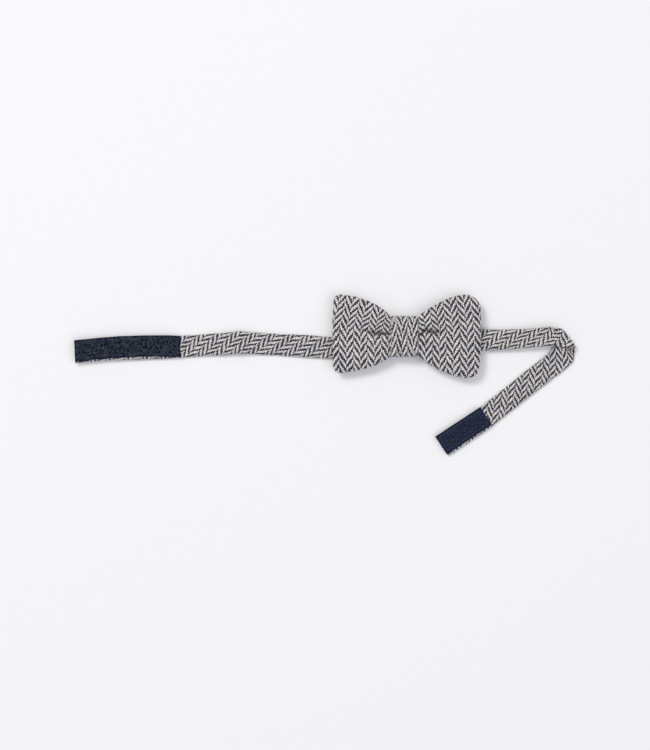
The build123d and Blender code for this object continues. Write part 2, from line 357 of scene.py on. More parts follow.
def add_light(name, place, size, watts, hex_colour="#ffffff"):
    """A square soft light at place, in metres, turned to the tie."""
    lamp = bpy.data.objects.new(name, bpy.data.lights.new(name, "AREA"))
    lamp.data.size, lamp.data.energy = size, watts
    lamp.data.color = linear(hex_colour)[:3]
    lamp.location = place
    aim = Vector((VIEW_CENTRE[0] * MM, VIEW_CENTRE[1] * MM, 0)) - Vector(place)
    lamp.rotation_euler = aim.to_track_quat("-Z", "Y").to_euler()
    bpy.context.scene.collection.objects.link(lamp)


add_light("window", (-1.5, 1.5, 2.4), 1.15, 46.0, "#fffdf8")
add_light("fill", (1.5, -1.0, 2.4), 2.4, 20.0, "#f6f8ff")

world = bpy.data.worlds.new("room")
world.use_nodes = True
world.node_tree.nodes["Background"].inputs["Color"].default_value = linear("#f4f5f8")
world.node_tree.nodes["Background"].inputs["Strength"].default_value = 0.54
bpy.context.scene.world = world
bpy.context.scene.view_settings.view_transform = "Standard"

table_mesh = bpy.data.meshes.new("table")
shape = bmesh.new()
bmesh.ops.create_grid(shape, x_segments=2, y_segments=2, size=3.0)
shape.to_mesh(table_mesh)
shape.free()
table_top = bpy.data.objects.new("table", table_mesh)
bpy.context.scene.collection.objects.link(table_top)
table_top.data.materials.append(start_material("Table board, matt painted", 0.9)[0])
board_tree = table_top.data.materials[0].node_tree
board = board_tree.nodes["Principled BSDF"]
board.inputs["Base Color"].default_value = linear("#fbfbfd")
# From below the board is clear: a closed band hangs under the bow.
underside = add_node(board_tree, "NewGeometry", output=6)
clear = add_node(board_tree, "BsdfTransparent")
both = add_node(board_tree, "MixShader", {0: underside, 1: board.outputs[0], 2: clear})
board_tree.links.new(both, board_tree.nodes["Material Output"].inputs["Surface"])
print("camera", round(camera_height), "mm above the table")

# %% [markdown]
# ## Helpers for cloth
#
# A cloth piece starts from an operator's grid. Its two directions are numbered from 0 to 1, and
# one function says where each of its points lies and which thread of the cloth is there. Edges that
# meet are then welded. A smooth run gives evenly spaced points of a curve through a few stations.

# %% Grid and curve helpers
def smooth_run(stations, count):
    """count + 1 evenly spaced points of a smooth curve through the stations."""
    p = np.array(stations, float)
    legs = np.linalg.norm(np.diff(p[:, :3], axis=0), axis=1)
    walked = np.concatenate([[0.0], np.cumsum(legs)])
    slope = np.gradient(p, walked, axis=0)
    at = np.linspace(0, walked[-1], count + 1)
    i = np.clip(np.searchsorted(walked, at, side="right") - 1, 0, len(p) - 2)
    h = legs[i][:, None]
    t = (at - walked[i])[:, None] / h
    rise = 3 * t**2 - 2 * t**3
    return (
        (1 - rise) * p[i]
        + rise * p[i + 1]
        + (t**3 - 2 * t**2 + t) * h * slope[i]
        + (t**3 - t**2) * h * slope[i + 1]
    )


def add_grid(shape, columns, rows, place, cloth):
    """Adds a grid to a bmesh. place(i, j) is a point, cloth(i, j) its place in the weave, in mm."""
    layer = shape.loops.layers.uv.get(WEAVE_MAP) or shape.loops.layers.uv.new(WEAVE_MAP)
    made = bmesh.ops.create_grid(shape, x_segments=columns, y_segments=rows, size=1.0)["verts"]
    number = {
        v: (round((v.co.x + 1) / 2 * columns), round((v.co.y + 1) / 2 * rows)) for v in made
    }
    for face in {f for v in made for f in v.link_faces}:
        for loop in face.loops:
            loop[layer].uv = cloth(*number[loop.vert])
    for v, (i, j) in number.items():
        v.co = Vector(place(i, j)) * MM
    return made


def to_object(shape, name, material, smooth=True):
    """Makes an object of a bmesh, at the origin."""
    mesh = bpy.data.meshes.new(name)
    for face in shape.faces:
        face.smooth = smooth
    shape.to_mesh(mesh)
    shape.free()
    mesh.materials.append(material)
    piece = bpy.data.objects.new(name, mesh)
    bpy.context.scene.collection.objects.link(piece)
    return piece


def waver(x, y, size, depth):
    """A smooth random height between -depth and depth that changes over size millimetres."""
    return depth * noise.noise(Vector((x / size, y / size, 3.7)))


print("smooth run of three stations:", smooth_run([(0, 0), (10, 0), (20, 4)], 2).round(2).tolist())

# %% [markdown]
# ## Neck band
#
# The band is a cloth tube, sewn, turned and pressed flat: 13.4 mm wide and 2.2 mm thick, cut on
# the bias, so the columns of the weave cross it at 44 degrees. It is one long loft: ribs stand
# along its middle line, and each has a place, the direction across the band and how wide the
# band is along it. At the fold the ribs lie along the fold line, which the band crosses at a
# slant, so they are longer there.
#
# The loft is cut into a piece for each joint, from the middle of one link to the middle of the
# next. Two neighbours share their end rib, so the seam stays closed however the band bends.

# %% Ribs of the band
BAND_WIDTH, BAND_THICKNESS = 13.4, 2.2
half_thick = BAND_THICKNESS / 2
UPPER_RUN = [  # x, y, height, direction across in degrees, how much wider
    (-199.3, -9.6, 2.6, 92.5, 0.99),
    (-182, -7.9, 2.2, 92.5, 1.01),
    (-164.5, -7.2, 1.8, 92.5, 1.01),
    (-146, -6.7, 1.5, 92.5, 1),
    (-137, -6.2, 1.25, 92.6, 0.99),
    (-129.5, -5.8, 1.15, 94.5, 0.98),
    (-121, -5.2, 1.3, 93.6, 0.98),
    (-112.5, -4.7, 1.9, 93.5, 0.99),
    (-103, -3.9, 2.5, 93, 1),
    (-99, -3.6, 3.1, 91, 1.02),
    (-95, -3.8, 2.4, 89, 0.99),
    (-83, -4.5, 1.4, 86.8, 0.98),
    (-72, -5.1, 1.2, 86, 0.98),
    (-58, -5.9, 1.6, 85.5, 1),
    (-44, -6.7, 1.25, 89, 0.98),
    (-30, -5.4, 2.0, 95, 0.96),
    (-15, -3.4, 2.9, 94, 0.93),
    (0, -3.3, 2.9, 90.5, 0.93),
    (15, -3.2, 2.9, 91, 0.93),
    (31, -2.7, 2.5, 92, 0.96),
    (46.5, -2.2, 2.4, 92, 0.97),
    (61, -1.9, 2.9, 92, 0.91),
    (73, -1.2, 3.6, 93, 0.87),
    (84, -0.3, 4.6, 97, 0.86),
    (90, 0.2, 5.0, 111, 0.95),
    (95.4, -1.0, 5.3, 127, 1.16),
]
FOLD_TURN = 127.0  # direction of the fold line in degrees
FOLD_LINE = Vector((-cos(radians(FOLD_TURN)), -sin(radians(FOLD_TURN)), 0))
FOLD_OUT = Vector((sin(radians(FOLD_TURN)), -cos(radians(FOLD_TURN)), 0))
FOLD_RADIUS, FOLD_BULGE, FOLD_SLIP = 2.1, 3.3, 5.0
FOLD_TUCK = 0.17  # how much narrower the cloth is in the middle of the turn, to round its ends
UPPER_STEPS, FOLD_STEPS, LOWER_STEPS = 300, 14, 96
LOWER_RUN = [
    (98.4, -5.0, 1.12, 127, 1.24),
    (98.1, -7.2, 1.12, 132, 1.2),
    (96.9, -10.2, 1.12, 137, 1.13),
    (94.8, -13.0, 1.12, 138, 1.07),
    (91.8, -15.8, 1.12, 136, 1.04),
    (86.5, -19.9, 1.12, 130.5, 1),
    (78.6, -26.1, 1.12, 128.5, 1),
    (70.7, -32.3, 1.12, 128.5, 1),
    (62.5, -38.8, 1.12, 128, 1),
    (54.6, -45.0, 1.12, 126, 1),
    (48.0, -50.2, 1.12, 124.2, 1),
    (35.5, -58.8, 1.12, 123.4, 1),
    (23.6, -66.7, 1.12, 123.4, 1),
]


def band_ribs():
    """Place of each rib's middle, the direction across and the spread there."""
    made = [tuple(row) for row in smooth_run(UPPER_RUN, UPPER_STEPS)]
    brink, wide_above, wide_below = Vector(UPPER_RUN[-1][:3]), UPPER_RUN[-1][4], LOWER_RUN[0][4]
    for step in range(1, FOLD_STEPS):
        turn = pi * step / FOLD_STEPS
        # The band crosses the fold line at a slant, so it slips along the line as it turns.
        spot = brink + FOLD_OUT * FOLD_BULGE * sin(turn) + FOLD_LINE * FOLD_SLIP * turn / pi
        spot.z += FOLD_RADIUS * (cos(turn) - 1)
        wide = wide_above + (wide_below - wide_above) * turn / pi - FOLD_TUCK * sin(turn)
        made.append((*spot, FOLD_TURN, wide))
    return made + [tuple(row) for row in smooth_run(LOWER_RUN, LOWER_STEPS)]


ribs = band_ribs()
middles = [Vector(r[:3]) for r in ribs]
lengths = [0.0]
for before, after in zip(middles, middles[1:]):
    lengths.append(lengths[-1] + (after - before).length)
print("band:", len(ribs), "ribs,", round(lengths[-1]), "mm long")

# %% Section of the band and its pieces
SECTION_STEPS = 32


def flat_oval(half_width, half_height, square, steps):
    """Points round a flat oval, from its right edge over the top, each with the way walked."""
    points, walked = [], 0.0
    for step in range(steps + 1):
        angle = 2 * pi * step / steps
        x = half_width * abs(cos(angle)) ** (2 / square) * (1 if cos(angle) >= 0 else -1)
        y = half_height * abs(sin(angle)) ** (2 / square) * (1 if sin(angle) >= 0 else -1)
        if points:
            walked += ((x - points[-1][0]) ** 2 + (y - points[-1][1]) ** 2) ** 0.5
        points.append((x, y, walked))
    return points


def even_oval(half_width, half_height, square, steps):
    """The same oval with points an even way apart, so that its edges are round."""
    x, y, walked = np.array(flat_oval(half_width, half_height, square, 720)).T
    way = np.linspace(0, walked[-1], steps + 1)
    return [(np.interp(w, walked, x), np.interp(w, walked, y), w) for w in way]


band_section = even_oval(BAND_WIDTH / 2, half_thick, 3.0, SECTION_STEPS)
BIAS = radians(44)
BAND_STRETCH = 1.12  # more threads to a millimetre than on the bow, as the band is pressed small


def rib_frame(number):
    """Middle, direction across and normal at a rib."""
    before, after = middles[max(number - 1, 0)], middles[min(number + 1, len(ribs) - 1)]
    turn = radians(ribs[number][3])
    across = Vector((cos(turn), sin(turn), 0))
    return middles[number], across, (after - before).cross(across).normalized()


def nearest_rib(spot):
    return min(range(len(middles)), key=lambda n: (middles[n] - Vector(spot)).length)


def add_band(name, first, last, node, capped=None):
    """One piece of the band between two ribs. capped says which rib is a closed tip."""

    def place(i, j):
        number = first + i
        middle, across, normal = rib_frame(number)
        x, y, way = band_section[j % SECTION_STEPS]
        at = lengths[number]
        squeeze = 1.0
        if capped is not None:
            tip_gap = abs(lengths[capped] - at)
            squeeze = 0.35 + 0.65 * min(1.0, tip_gap / 1.6) ** 0.5
        wide = ribs[number][4] * (1 + waver(at, 9.0 if x > 0 else 40.0, 6.0, 0.022))
        thick = squeeze * (1 + waver(at, 70.0, 9.0, 0.12))
        ripple = waver(at, x, 5.0, 0.10) * (1 if y > 0 else 0)
        return middle + across * (x * wide) + normal * (y * thick + ripple)

    def cloth(i, j):
        at, way = lengths[first + i], band_section[j][2]
        return (
            BAND_STRETCH * (at * sin(BIAS) + way * cos(BIAS)),
            BAND_STRETCH * (at * cos(BIAS) - way * sin(BIAS)),
        )

    shape = bmesh.new()
    add_grid(shape, last - first, SECTION_STEPS, place, cloth)
    bmesh.ops.remove_doubles(shape, verts=shape.verts, dist=0.005 * MM)
    if capped is not None:
        tip = middles[capped] * MM
        rim = [e for e in shape.edges if e.is_boundary and (e.verts[0].co - tip).length < 0.009]
        bmesh.ops.holes_fill(shape, edges=rim)
    bmesh.ops.recalc_face_normals(shape, faces=shape.faces)
    piece = to_object(shape, name, tweed)
    if node:
        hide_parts(node)
    return piece


# %% Cut the band at its links
CUTS = [
    # Piece, where it ends, the node it stands for, its bodies, the place of the joint between them.
    ("left_tape", (-134.4, -6.8, 1.3), "left_band_5", ["left_end"], None),
    ("left_4", (-114.2, -4.8, 1.9), "left_band_4", ["left_4", "left_end"], (-129.5, -5.7, 1.1)),
    ("left_3", (-85.5, -4.1, 1.6), "left_band_3", ["left_3", "left_4"], (-99, -3.6, 2.9)),
    ("left_2", (-58, -5.8, 1.6), "left_band_2", ["left_2", "left_3"], (-72, -5.1, 1.1)),
    ("left_1", (-29.5, -5.4, 2.0), "left_band_1", ["left_1", "left_2"], (-44, -6.7, 1.1)),
    ("knot_left", (0, -3.3, 2.9), "band_centre", ["bow", "left_1"], (-15, -3.4, 2.9)),
    ("knot_right", (30.75, -2.7, 2.5), "right_band_1", ["bow", "right_1"], (15, -3.2, 2.9)),
    ("right_2", (60.75, -1.4, 2.9), "right_band_2", ["right_1", "right_2"], (46.5, -2.2, 2.3)),
    ("right_3", (86.5, -0.5, 4.8), "right_band_3", ["right_2", "right_3"], (75, -0.8, 3.7)),
    ("fold_upper", None, "fold_roll", ["right_3", "fold"], "upper"),
    ("fold_lower", (93.0, -14.6, 1.1), "tail_band_1", ["fold", "tail_1"], "lower"),
    ("tail_1", (70.7, -32.3, 1.1), "tail_band_2", ["tail_1", "tail_2"], (86.5, -20, 1.1)),
    ("tail_2", (49.9, -48.6, 1.1), None, ["tail_2", "right_end"], (54.9, -44.8, 1.1)),
    ("hook_tape", "tip", "tail_band_3", ["right_end"], None),
]
fold_mid_rib = UPPER_STEPS + FOLD_STEPS // 2
start = 0
for name, stop, node, riders, joint in CUTS:
    end = fold_mid_rib if stop is None else len(ribs) - 1 if stop == "tip" else nearest_rib(stop)
    capped = 0 if start == 0 else end if stop == "tip" else None
    piece = add_band("neck_band_" + name, start, end, node, capped)
    if joint is None:
        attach(piece, riders[0])
    elif joint in ("upper", "lower"):
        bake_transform(piece)
    else:
        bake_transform(piece)
    start = end
print("band pieces:", len(CUTS))

# %% [markdown]
# ## Bow
#
# The bow is two plies sewn face to face along the edge, turned out and pressed, so its rim is a
# rounded seam and its wings are pillows. The gathering at the waist pinches one sharp pleat that
# runs out into each wing and dies away. It could be one smooth cushion, but then the pleat, which
# makes it a bow, would be lost. So each ply is a grid fitted between four edge curves, and its
# height is a pillow less the pleat. The upper half leans towards the waist, as the pleat pulls it.
#
# Drawn heights alone look pressed, so a short cloth simulation blows the bow up a little from
# inside. The knot holds the waist, and no point may move far, or the outline would pull in.

# %% Edge curves and heights of the bow
TOP_EDGE = [
    (-41.6, 24.2), (-38.7, 25.3), (-35.2, 25.1), (-27, 23.5), (-20, 20.8), (-14.5, 17.8),
    (-10.4, 14.6), (-8.9, 12.6), (-7.4, 10.6), (0, 9.8), (7.8, 10.4), (9.6, 12.9), (13.2, 15.7),
    (18.1, 18.7), (25, 22.2), (30.6, 24.3), (35.4, 25.2), (39.6, 25.0), (43.6, 22.9),
]
LOW_EDGE = [
    (-41.5, -21.1), (-39.4, -22.0), (-33.8, -21.5), (-27.3, -20.3), (-21, -18.8), (-15.5, -16.6),
    (-11, -14.2), (-8.9, -12.7), (-7.4, -10.4), (0, -9.8), (7.8, -10.4), (9.4, -12.3),
    (11.6, -13.8), (14.6, -16.3), (18.8, -19), (25, -21.8), (31.9, -24.2), (37.1, -25.2),
    (41.4, -24.5), (44.2, -22.5),
]
LEFT_EDGE = [
    (-41.5, -21.1), (-42.5, -19), (-42.9, -9), (-43.2, 0), (-43.2, 8), (-42.8, 18), (-42.4, 22),
    (-41.6, 24.2),
]
RIGHT_EDGE = [
    (44.2, -22.5), (45.3, -19.4), (46.2, -11), (46.6, -3), (46.7, 5), (46.5, 13), (45.8, 19.6),
    (43.6, 22.9),
]
BOW_COLUMNS, BOW_ROWS = 150, 84
MID_HEIGHT = 6.6
top_edge, low_edge = smooth_run(TOP_EDGE, BOW_COLUMNS), smooth_run(LOW_EDGE, BOW_COLUMNS)
left_edge, right_edge = smooth_run(LEFT_EDGE, BOW_ROWS), smooth_run(RIGHT_EDGE, BOW_ROWS)


def step_up(low, high, x):
    """0 below low, 1 above high and smooth between."""
    t = min(1.0, max(0.0, (x - low) / (high - low)))
    return t * t * (3 - 2 * t)


def bow_plan(i, j):
    """Point of the bow seen from above, fitted between its four edges."""
    u, v = i / BOW_COLUMNS, j / BOW_ROWS
    corners = (
        (1 - u) * (1 - v) * low_edge[0] + u * (1 - v) * low_edge[-1]
        + (1 - u) * v * top_edge[0] + u * v * top_edge[-1]
    )
    between_top_and_low = (1 - v) * low_edge[i] + v * top_edge[i]
    return between_top_and_low + (1 - u) * left_edge[j] + u * right_edge[j] - corners


def pleat_line(x):
    """Height on the bow of the pleat at x, and how deep it is there from 0 to 1."""
    if x < 0:
        return 1.6 + 2.6 * step_up(16.0, 28.0, abs(x)), 1 - step_up(13.0, 31.0, abs(x))
    tuck = 1.9 * np.exp(-(((x - 13.0) / 1.7) ** 2))
    return 0.8 + 1.8 * step_up(9.0, 15.0, x) + tuck, 1 - step_up(14.0, 30.0, x)


def bow_height(i, j, side):
    """Height of a ply above or below the seam."""
    x, y = bow_plan(i, j)
    v = 2 * j / BOW_ROWS - 1
    u = 2 * i / BOW_COLUMNS - 1
    pillow = max(0.0, 1 - abs(v) ** 5) * max(0.0, 1 - abs(u) ** 44)
    waist = 1 - step_up(7.0, 13.0, abs(x))
    full = (2.55 - 0.35 * waist) * pillow**0.5
    pleat_y, deep = pleat_line(x)
    gap = y - pleat_y
    # Beside the pleat the cloth stands up in two soft rolls, the lower one fuller.
    rolls = 0.85 * np.exp(-((abs(gap) - 4.6) / 3.2) ** 2) * deep * (1.1 if gap < 0 else 0.9)
    crease = (3.4 * np.exp(-((gap / 0.8) ** 2)) + 1.2 * np.exp(-((gap / 2.6) ** 2))) * deep
    soft = waver(x, y, 9.0, 0.45) * pillow + waver(x, y, 4.0, 0.12) * pillow
    droop = -0.5 * step_up(10, 44, abs(x))
    inside = 1 - waist
    shape = full + (rolls - crease + soft) * inside * (1.0 if side > 0 else 0.55) * pillow**0.5
    return MID_HEIGHT + droop + side * max(shape, 0.0 if pillow == 0 else -0.6)


def bow_cloth(i, j, side):
    """Place in the weave. The cloth above the pleat turns a little towards the waist."""
    x, y = bow_plan(i, j)
    pleat_y, deep = pleat_line(x)
    gap = y - pleat_y
    above = step_up(-1.5, 1.5, gap) * gap
    turned = step_up(-1.0, 12.0, gap)
    if x < 0:
        across, along = x - 0.22 * above - 3.0, 0.22 * (x + 42) * turned
    else:
        across, along = x + 0.12 * above - 0.4, 0.12 * (46 - x) * turned
    return (across, y + along + 1.0 * deep * step_up(-0.8, 0.8, gap))


# %% Make the bow
shape = bmesh.new()
for side in (1, -1):
    add_grid(
        shape,
        BOW_COLUMNS,
        BOW_ROWS,
        lambda i, j: (*bow_plan(i, j), bow_height(i, j, side)),
        lambda i, j: bow_cloth(i, j, side),
    )
bmesh.ops.remove_doubles(shape, verts=shape.verts, dist=0.02 * MM)
bmesh.ops.recalc_face_normals(shape, faces=shape.faces)
bow = to_object(shape, "bow_two_ply", tweed)


def pleat_shade(x, y):
    """How much painted shade darkens the cloth: 1 at the bottom of the pleat, where its walls keep
    the light out, and 0 outside it.
    """
    pleat_y, deep = pleat_line(x)
    return float(deep * np.exp(-(((y - pleat_y) / 0.75) ** 2)) * step_up(4, 6, abs(x) - 2))


def settle_cloth(piece, held, pressure, reach, frames=14):
    """Blows a closed piece of cloth up from inside and lets it crease as it pulls at its seams.

    held(x, y, z) says how firmly a point is pinned. No point moves by more than reach millimetres.
    """
    group = piece.vertex_groups.new(name="held")
    for v in piece.data.vertices:
        group.add([v.index], held(*(v.co / MM)), "REPLACE")
    cloth = piece.modifiers.new("cloth", "CLOTH")
    cloth.point_cache.frame_start, cloth.point_cache.frame_end = 1, frames
    cloth.settings.quality = 6
    cloth.settings.mass = 0.05
    cloth.settings.use_pressure = True
    cloth.settings.uniform_pressure_force = pressure
    cloth.settings.vertex_group_mass = "held"
    cloth.settings.effector_weights.gravity = 0.0
    for frame in range(1, frames + 1):
        bpy.context.scene.frame_set(frame)
    settled = piece.evaluated_get(bpy.context.evaluated_depsgraph_get()).data
    moves = [new.co - old.co for old, new in zip(piece.data.vertices, settled.vertices)]
    for v, move in zip(piece.data.vertices, moves):
        v.co += move * min(1.0, reach * MM / max(move.length, 1e-9))
    piece.modifiers.remove(cloth)
    piece.vertex_groups.remove(group)
    bpy.context.scene.frame_set(1)
    walked = sorted(move.length / MM for move in moves)
    median = walked[len(walked) // 2]
    print("cloth moved, mm: median", round(median, 3), "most", round(walked[-1], 2))


def bow_held(x, y, z):
    """The knot grips the bow's waist, and the turned seam holds its rim a little."""
    return max(1 - step_up(8.0, 12.0, abs(x)), 0.15)


settle_cloth(bow, bow_held, pressure=4.0, reach=0.6)
# Painted shade: each point of the bow stores how deep in the pleat it lies, which darkens its
# colour.
shade = bow.data.attributes.new(PLEAT_SHADE, "FLOAT", "POINT")
shade.data.foreach_set("value", [pleat_shade(*(v.co / MM)[:2]) for v in bow.data.vertices])
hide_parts("bow_front_ply", "bow_back_ply", "bow_interlining")
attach(bow, "bow")
print("bow:", len(bow.data.polygons), "faces")

# %% [markdown]
# ## Knot
#
# The knot is a strip of the same cloth, its long edges folded in, wrapped once round the waist
# and sewn behind. It is a grid rolled round the waist, given the cloth's thickness by Solidify.
# Pulled tight it is narrower across the middle, and its weave is squeezed, so the zigzag is
# steeper there than on the bow.

# %% Roll the knot
KNOT_HALF_WIDTH, KNOT_HALF_HEIGHT, KNOT_THICKNESS = 8.8, 12.5, 10.7
KNOT_COLUMNS, KNOT_ROWS = 28, 96
KNOT_SQUEEZE, KNOT_STRETCH = 1.22, 0.70
knot_section = even_oval(KNOT_HALF_HEIGHT, KNOT_THICKNESS / 2, 3.6, KNOT_ROWS)
SEAM_Y, SEAM_HALF = 6.0, 7.0


def knot_place(i, j):
    share = 2 * i / KNOT_COLUMNS - 1
    y, z, way = knot_section[j % KNOT_ROWS]
    front = step_up(-1.5, 2.5, z)
    tight = 1 - 0.07 * front * (1 - (y / KNOT_HALF_HEIGHT) ** 2)
    x = KNOT_HALF_WIDTH * share * tight
    rolled = 0.85 * abs(share) ** 7
    out = Vector((0, y / KNOT_HALF_HEIGHT**2, z / (KNOT_THICKNESS / 2) ** 2)).normalized()
    folds = front * (0.30 * cos(2.1 * pi * share + 0.12 * y) - 0.25 + waver(x, y, 4.0, 0.10))
    spot = Vector((x + 0.35 * front, y, z + KNOT_THICKNESS / 2)) + out * (folds - rolled)
    if z < 0:
        seam = np.exp(-((y - SEAM_Y) / 0.6) ** 2) * (1 if abs(x) < SEAM_HALF else 0.4)
        spot.z = max(spot.z, 0.02) + 0.42 * seam
    return spot


shape = bmesh.new()
add_grid(
    shape,
    KNOT_COLUMNS,
    KNOT_ROWS,
    knot_place,
    lambda i, j: (
        (2 * i / KNOT_COLUMNS - 1) * KNOT_HALF_WIDTH * KNOT_SQUEEZE + 2.1,
        knot_section[j][2] * KNOT_STRETCH,
    ),
)
bmesh.ops.remove_doubles(shape, verts=shape.verts, dist=0.005 * MM)
bmesh.ops.recalc_face_normals(shape, faces=shape.faces)
knot = to_object(shape, "knot_cloth", tweed)
wall = knot.modifiers.new("cloth thickness", "SOLIDIFY")
wall.thickness, wall.offset = 1.0 * MM, -1.0
smoother = knot.modifiers.new("soft folds", "SUBSURF")
smoother.levels = smoother.render_levels = 1
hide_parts("knot_wrap")
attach(knot, "bow")
print("knot:", round(knot_section[-1][2], 1), "mm of cloth round the waist")

# %% Thread and lining that stay as they are packed
for node, material in (
    ("waist_thread", pale_thread),
    ("knot_interlining", felt),
    ("knot_seam_stitches", pale_thread),
):
    mesh = frame["nodes"][node].data
    mesh.materials.clear()
    mesh.materials.append(material)
print("packed pieces kept: waist_thread, knot_interlining, knot_seam_stitches")

# %% [markdown]
# ## Tapes
#
# Each tape is a woven ground with a smooth selvedge, cut square and sewn down all round. Loop
# tape carries a brushed pile of tiny loops, hook tape rows of cut hooks. One loop and one hook
# are modelled and repeated, turned a little each time, because a bump alone would leave the
# tape's outline bald. Everything is laid out on a flat frame that lies on the band.

# %% Frames on the two ends, and a ground
TAPE_WIDTH, GROUND = 13.0, 0.45
LOOP_LENGTH, HOOK_LENGTH = 64.0, 32.7
TAPE_LEAD = 6.0  # plain band between the last bend and a tape
LOOP_SWING = 1.3  # how far the middle of the loop tape bows to one side



def tape_frame(start, end, length, lift):
    """Matrix, in millimetres, of a frame on the band: x along it from start to end, z up."""
    start, end = Vector(start), Vector(end)
    along = (end - start).normalized()
    across = Vector((0, 0, 1)).cross(along).normalized()
    up = along.cross(across)
    middle = start + along * (TAPE_LEAD + length / 2) + up * lift
    return Matrix.Translation(middle) @ Matrix((along, across, up)).transposed().to_4x4()


hook_along = (cos(radians(213.4)), sin(radians(213.4)))
loop_frame = tape_frame((-129.5, -5.7, 0), (-199.5, -8.8, 1.5), LOOP_LENGTH, BAND_THICKNESS)
hook_end = (54.9 + 38.7 * hook_along[0], -44.8 + 38.7 * hook_along[1], BAND_THICKNESS)
hook_frame = tape_frame((54.9, -44.8, BAND_THICKNESS), hook_end, HOOK_LENGTH, 0)


def swing(frame_matrix, x):
    """How far the loop tape swings sideways at x, since its end isn't laid quite straight."""
    return -LOOP_SWING * (1 - (2 * x / LOOP_LENGTH) ** 2) if frame_matrix is loop_frame else 0.0


def round_edges(shape, edges, radius):
    bmesh.ops.bevel(
        shape, geom=edges, offset=radius * MM, segments=2, affect="EDGES", profile=0.5, material=-1
    )


def finish_piece(shape, name, material, node, body):
    """Makes a rigid piece of a bmesh. It stands for a node and rides on a body."""
    piece = to_object(shape, name, material)
    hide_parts(node)
    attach(piece, body)
    return piece


def add_ground(name, frame_matrix, length, node, body):
    """Woven ground of a tape, a low slab with a slightly wavy edge."""
    columns, rows = round(length / 1.2), 14

    def place(i, j):
        x, y = (i / columns - 0.5) * length, (j / rows - 0.5) * TAPE_WIDTH
        x *= 1 + waver(y, 5, 3.0, 0.004)
        y = y * (1 + waver(x, 8, 7.0, 0.012)) + swing(frame_matrix, x)
        return frame_matrix @ Vector((x, y, 0.02))

    shape = bmesh.new()
    made = add_grid(
        shape, columns, rows, place, lambda i, j: (i / columns * length, j / rows * TAPE_WIDTH)
    )
    up = frame_matrix.to_3x3() @ Vector((0, 0, 1))
    raised = bmesh.ops.extrude_face_region(shape, geom=shape.faces[:])["geom"]
    lifted = [v for v in raised if isinstance(v, bmesh.types.BMVert)]
    bmesh.ops.translate(shape, verts=lifted, vec=up * GROUND * MM)
    bmesh.ops.recalc_face_normals(shape, faces=shape.faces)
    rim = [e for e in shape.edges if e.calc_face_angle(0) > 1.0]
    round_edges(shape, rim, 0.16)
    piece = finish_piece(shape, name, tape_weave, node, body)
    return piece


grounds = [
    add_ground("loop_tape_woven", loop_frame, LOOP_LENGTH, "loop_tape_ground", "left_end"),
    add_ground("hook_tape_woven", hook_frame, HOOK_LENGTH, "hook_tape_ground", "right_end"),
]
print("faces of the tape grounds:", [len(ground.data.polygons) for ground in grounds])

# %% Pile and hooks
rng = np.random.default_rng(7)
PILE_INSET = 0.45  # width of bare ground outside the pile's bed
LOOPS_ALONG, LOOPS_ACROSS = 62, 13
BED_COLUMNS, BED_ROWS = 90, 20
SEAM_INSET = 1.25  # of the groove that the stitches press into the pile, from the bed's edge
HOOK_ROWS, HOOKS_PER_ROW, HOOK_PITCH = 20, 9, 1.4


def bent_fibre(radius, path, sides=3):
    """A short bent fibre through path, as a mesh to repeat."""
    shape = bmesh.new()
    rings = []
    for spot, turn in path:
        ring = bmesh.ops.create_circle(shape, segments=sides, radius=radius)["verts"]
        matrix = Matrix.Translation(Vector(spot)) @ Matrix.Rotation(turn, 4, "Y")
        bmesh.ops.transform(shape, matrix=matrix, verts=ring)
        rings.append([e for e in shape.edges if e.verts[0] in ring and e.verts[1] in ring])
    for low, high in zip(rings, rings[1:]):
        bmesh.ops.bridge_loops(shape, edges=low + high)
    bmesh.ops.recalc_face_normals(shape, faces=shape.faces)
    mesh = bpy.data.meshes.new("fibre")
    shape.to_mesh(mesh)
    shape.free()
    return mesh


def add_copies(shape, mesh, matrix):
    """Adds one copy of a small mesh, placed by a matrix in millimetres."""
    before = len(shape.verts)
    shape.from_mesh(mesh)
    shape.verts.ensure_lookup_table()
    fresh = shape.verts[before:]
    bmesh.ops.transform(shape, matrix=Matrix.Scale(MM, 4) @ matrix, verts=fresh)


